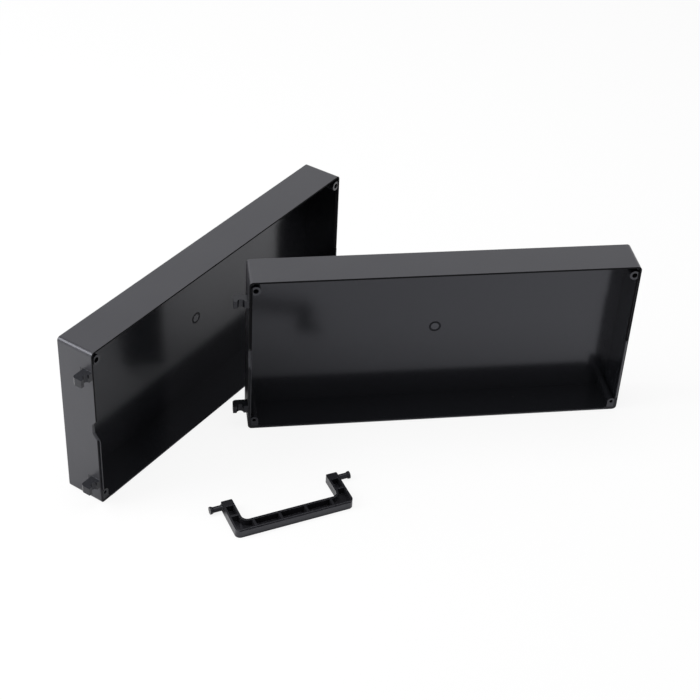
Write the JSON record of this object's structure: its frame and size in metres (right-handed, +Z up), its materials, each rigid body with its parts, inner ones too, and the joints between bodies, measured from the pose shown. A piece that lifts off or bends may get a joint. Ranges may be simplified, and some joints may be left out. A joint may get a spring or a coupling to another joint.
{
  "type": "two-part plastic equipment housing with a detached carry handle",
  "caption": "Flat black moulded housing taken apart: a pair of matching half shells with rim tongue, screw bosses and pin saddles, and a ribbed U-shaped carry handle.",
  "frame": {"origin": "on the ground, under the middle of the box round the three pieces", "axes": "+X along the right half shell, away from its handle end; -Y the way its open side faces; +Z up"},
  "size_m": [0.4716, 0.3094, 0.15],
  "materials": {
    "black_abs": "black ABS, moulded in a polished tool, semi-gloss"
  },
  "bodies": {
    "root": {"right_half_shell": "black_abs", "left_half_shell": "black_abs", "carry_handle": "black_abs"}
  },
  "joints": []
}
